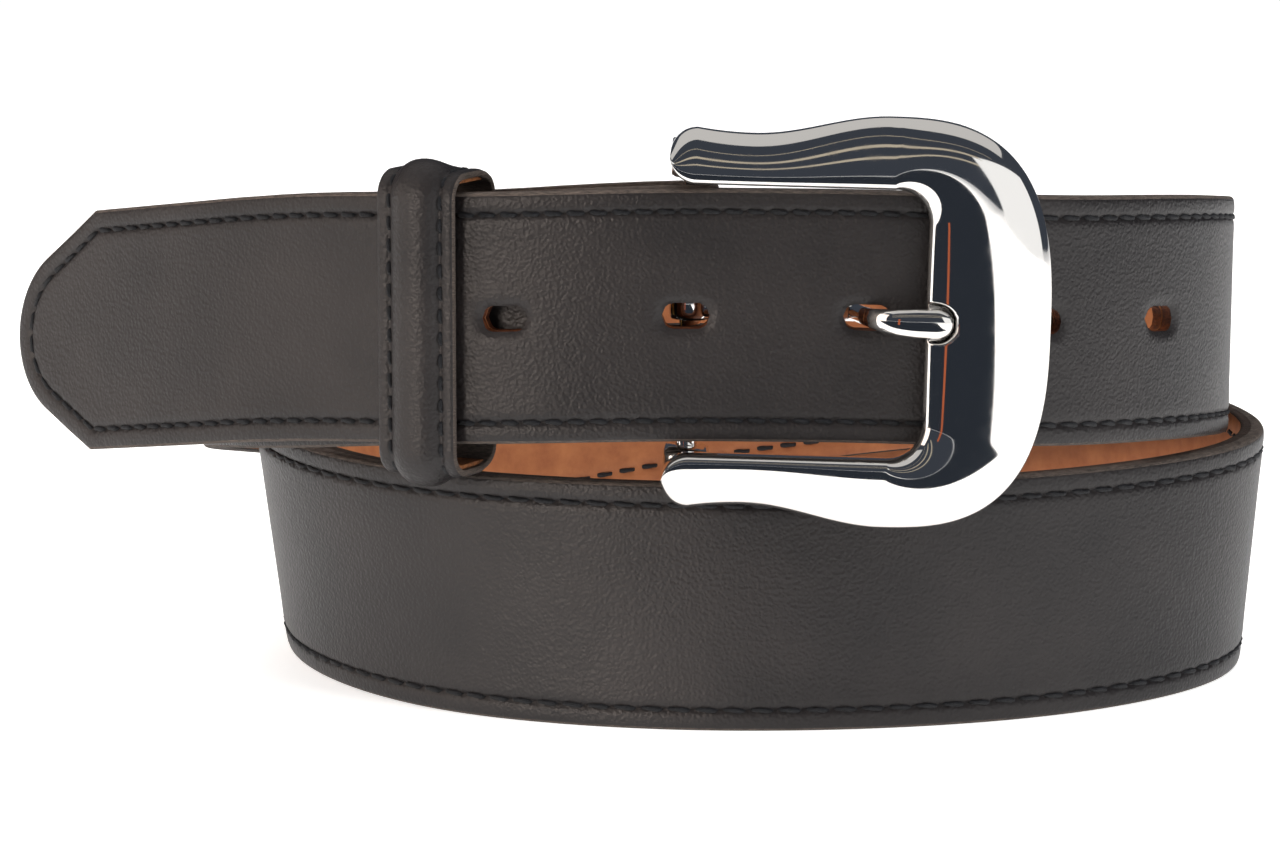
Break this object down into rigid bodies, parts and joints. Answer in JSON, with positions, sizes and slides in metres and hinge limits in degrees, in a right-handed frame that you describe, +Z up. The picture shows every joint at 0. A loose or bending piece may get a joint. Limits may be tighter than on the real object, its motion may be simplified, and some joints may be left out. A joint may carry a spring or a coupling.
{
  "type": "leather belt",
  "caption": "Coiled stitched leather dress belt with a horseshoe buckle, hinged prong, padded sliding keeper and a row of oblong holes, buckled on its middle hole.",
  "frame": {"origin": "middle of the coil's footprint, on the level the lower turn's bottom edge rests on", "axes": "+Z up the strap's width, +Y from the buckled front towards the far side of the coil, +X from the keeper towards the bow of the buckle"},
  "size_m": [0.1846, 0.1467, 0.0871],
  "materials": {
    "strap_leather": "satin",
    "lining_leather": "matte",
    "suede": "matte",
    "felt": "matte",
    "thread": "satin",
    "polished_metal": "polished",
    "staple_wire": "plain",
    "stud_brass": "plain",
    "blacked_brass": "satin"
  },
  "bodies": {
    "strap": {"strap_outer": "strap_leather", "strap_lining": "lining_leather", "strap_stitching": "thread", "lining_stitching": "thread", "snap_posts": "blacked_brass", "snap_studs": "stud_brass", "snap_sockets": "stud_brass", "snap_caps": "polished_metal"},
    "buckle": {"buckle_frame": "polished_metal", "buckle_bar": "polished_metal"},
    "prong": {"prong": "polished_metal"},
    "keeper": {"keeper_outer": "strap_leather", "keeper_lining": "suede", "keeper_padding": "felt", "keeper_stitching": "thread", "keeper_staples": "staple_wire"}
  },
  "joints": [
    {"name": "buckle_swing", "type": "hinge", "parent": "strap", "child": "buckle", "pos_m": [0.00695, -0.05983, 0.05942], "axis": [0, 0, -1], "range_deg": [0, 2]},
    {"name": "prong_swing", "type": "hinge", "parent": "buckle", "child": "prong", "pos_m": [0.00695, -0.05983, 0.05942], "axis": [-0.0297, 0, -0.9996], "range_deg": [0, 1.5]},
    {"name": "keeper_slide", "type": "slide", "parent": "strap", "child": "keeper", "axis": [0.8959, -0.4443, 0], "range_m": [-0.002, 0.002]}
  ]
}
